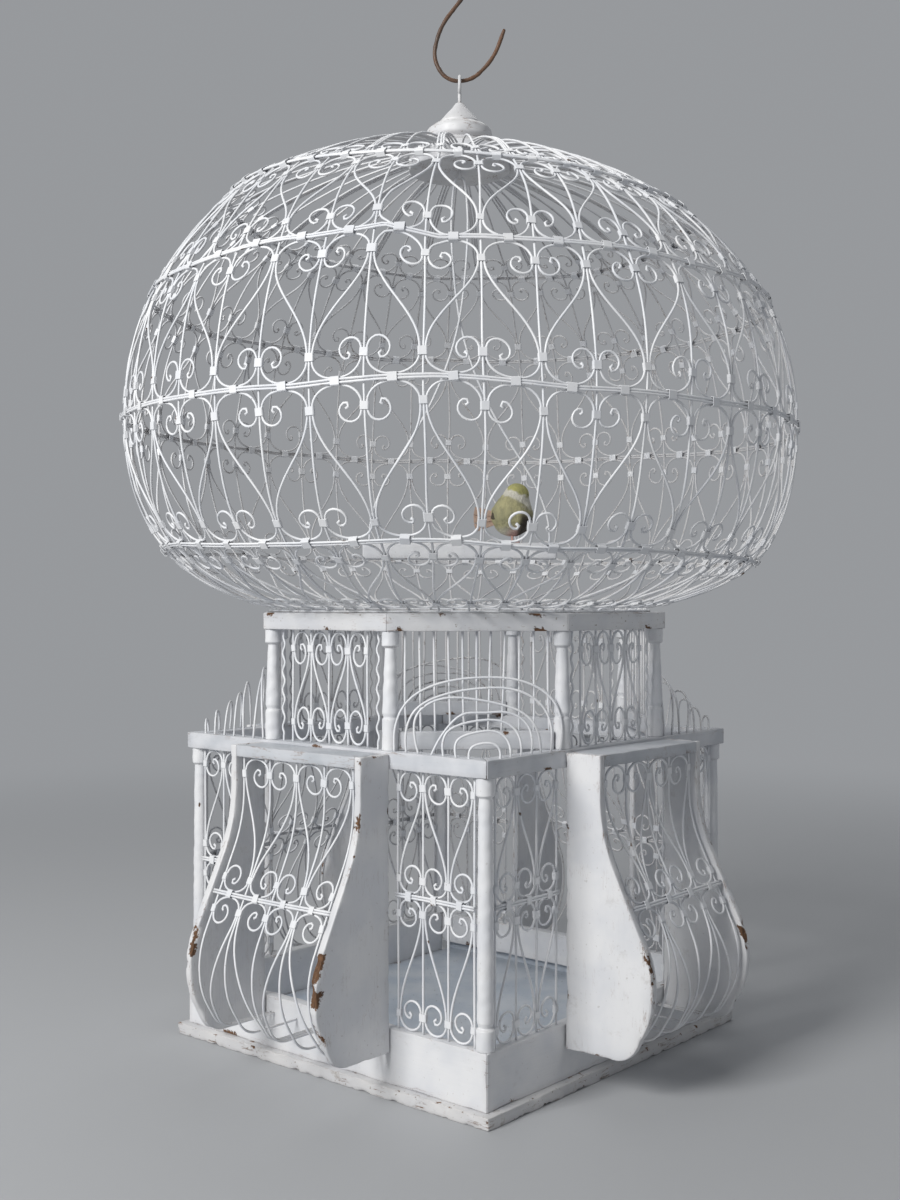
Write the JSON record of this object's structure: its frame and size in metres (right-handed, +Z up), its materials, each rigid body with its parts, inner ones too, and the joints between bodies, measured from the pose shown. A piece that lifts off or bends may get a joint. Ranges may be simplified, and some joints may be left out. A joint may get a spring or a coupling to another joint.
{
  "type": "hanging bird cage",
  "caption": "White wire-scroll bird cage: domed top, eight-sided neck, square wooden house with bowed balconies, sliding tray, swing perch and hanging hook.",
  "frame": {"origin": "centre of the base board's underside", "axes": "+Z up; the cage's square sides lie along X and Y, the door faces -Y and the tray slides out towards +Y"},
  "size_m": [0.5054, 0.5054, 0.8303],
  "materials": {
    "white_wood": "matte",
    "white_wire": "satin",
    "floor_paint": "matte",
    "rusty_iron": "matte",
    "bird_feathers": "matte",
    "bird_skin": "matte"
  },
  "bodies": {
    "cage": {"balcony_back_roof": "white_wood", "balcony_back_scrolls": "white_wire", "balcony_back_side_boards": "white_wood", "balcony_back_uprights": "white_wire", "balcony_front_roof": "white_wood", "balcony_front_scrolls": "white_wire", "balcony_front_side_boards": "white_wood", "balcony_front_uprights": "white_wire", "balcony_left_roof": "white_wood", "balcony_left_scrolls": "white_wire", "balcony_left_side_boards": "white_wood", "balcony_left_uprights": "white_wire", "balcony_right_roof": "white_wood", "balcony_right_scrolls": "white_wire", "balcony_right_side_boards": "white_wood", "balcony_right_uprights": "white_wire", "base_board": "white_wood", "corner_arches": "white_wire", "corner_panel_cross_wires": "white_wire", "corner_panel_scrolls": "white_wire", "corner_panel_uprights": "white_wire", "corner_posts": "white_wood", "dome_foot_ring": "white_wire", "dome_ribs": "white_wire", "dome_ring_1": "white_wire", "dome_ring_2": "white_wire", "dome_ring_3": "white_wire", "dome_ring_4": "white_wire", "dome_scrolls_1": "white_wire", "dome_scrolls_2": "white_wire", "dome_scrolls_3": "white_wire", "dome_scrolls_4": "white_wire", "dome_scrolls_5": "white_wire", "finial": "white_wood", "hanging_eye": "white_wire", "ledge_rails": "white_wood", "neck_beam": "white_wood", "neck_corner_bars": "white_wire", "neck_corner_rails": "white_wood", "neck_crimped_wires": "white_wire", "neck_panel_scrolls": "white_wire", "neck_panel_uprights": "white_wire", "neck_posts": "white_wood", "plinth_board_back": "white_wood", "plinth_board_front": "white_wood", "plinth_board_left": "white_wood", "plinth_board_right": "white_wood", "swing_staple": "white_wire", "top_disc": "white_wood"},
    "tray_body": {"tray": "floor_paint"},
    "door": {"door_pivot_wire": "white_wire", "door_scrolls": "white_wire", "door_uprights": "white_wire"},
    "swing": {"swing_wire": "white_wire", "perch_board": "white_wood", "bird_body": "bird_feathers", "bird_legs": "bird_skin"},
    "hook_body": {"hook": "rusty_iron"}
  },
  "joints": [
    {"name": "tray_slide", "type": "slide", "parent": "cage", "child": "tray_body", "axis": [0, 1, 0], "range_m": [0, 0.26]},
    {"name": "door_hinge", "type": "hinge", "parent": "cage", "child": "door", "pos_m": [-0.0364, -0.138, 0.265], "axis": [0, 0, -1], "range_deg": [0, 100]},
    {"name": "swing_hinge", "type": "hinge", "parent": "cage", "child": "swing", "pos_m": [0, 0, 0.647], "axis": [0.7585, 0.6517, 0], "range_deg": [-40, 40]},
    {"name": "hook_hinge", "type": "hinge", "parent": "cage", "child": "hook_body", "pos_m": [0, 0, 0.72], "axis": [0.7585, 0.6517, 0], "range_deg": [-85, 85]}
  ]
}
